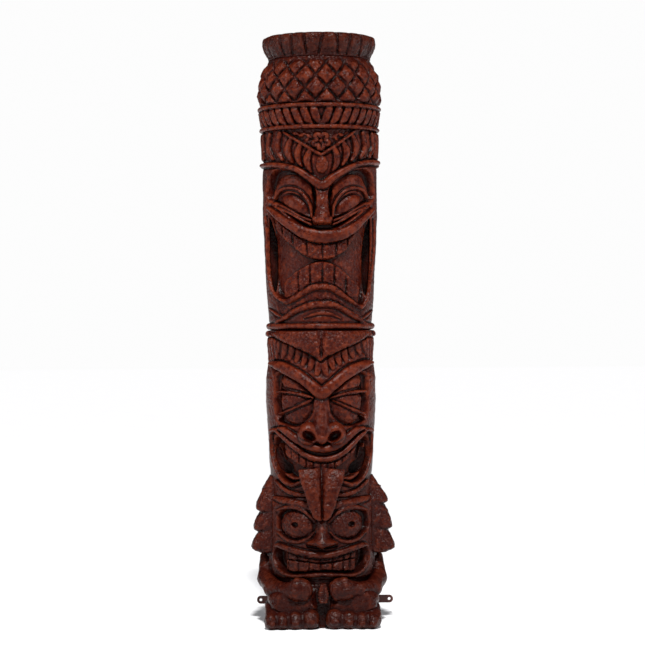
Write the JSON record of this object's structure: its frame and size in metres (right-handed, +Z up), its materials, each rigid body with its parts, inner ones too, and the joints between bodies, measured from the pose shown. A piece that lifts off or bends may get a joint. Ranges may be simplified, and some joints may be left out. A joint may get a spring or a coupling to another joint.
{
  "type": "tiki figure",
  "caption": "Life-size stacked tiki figure: carved faces under a pineapple crown, cast in hollow tiers on a tie rod, with applied limbs and a wall bar at the heels.",
  "frame": {"origin": "centre of the base board's underside, on the floor, on the tiers' axis", "axes": "+Z up along the figure; -Y is the front, +X is the figure's left hand"},
  "size_m": [0.455, 0.4078, 1.83],
  "materials": {
    "carved_resin": "carved, stained red-brown, dark in the cuts, satin",
    "plywood": "bare birch plywood",
    "dowel": "plain beech",
    "steel": "zinc plated",
    "painted_bar": "stained to match the figure"
  },
  "bodies": {
    "root": {"leaf_rim": "carved_resin", "pineapple_shell": "carved_resin", "hat_band": "carved_resin", "upper_tiki_shell": "carved_resin", "middle_tiki_shell": "carved_resin", "lower_head_shell": "carved_resin", "leg_shell": "carved_resin", "tongue": "carved_resin", "left_arm": "carved_resin", "right_arm": "carved_resin", "left_shoulder_scales": "carved_resin", "right_shoulder_scales": "carved_resin", "left_foot": "carved_resin", "right_foot": "carved_resin", "loin_leaf": "carved_resin", "top_plate": "carved_resin", "crown_disc": "plywood", "hat_disc": "plywood", "upper_disc": "plywood", "middle_disc": "plywood", "leg_disc": "plywood", "base_board": "plywood", "base_flange": "steel", "flange_screws": "steel", "tie_rod": "steel", "top_washer": "steel", "top_nut": "steel", "wall_bar": "painted_bar", "wall_bar_bolts": "steel", "tongue_dowels": "dowel", "arm_dowels": "dowel", "scale_dowels": "dowel", "foot_dowels": "dowel", "leaf_dowel": "dowel", "board_screws": "steel", "top_plate_screws": "steel"}
  },
  "joints": []
}
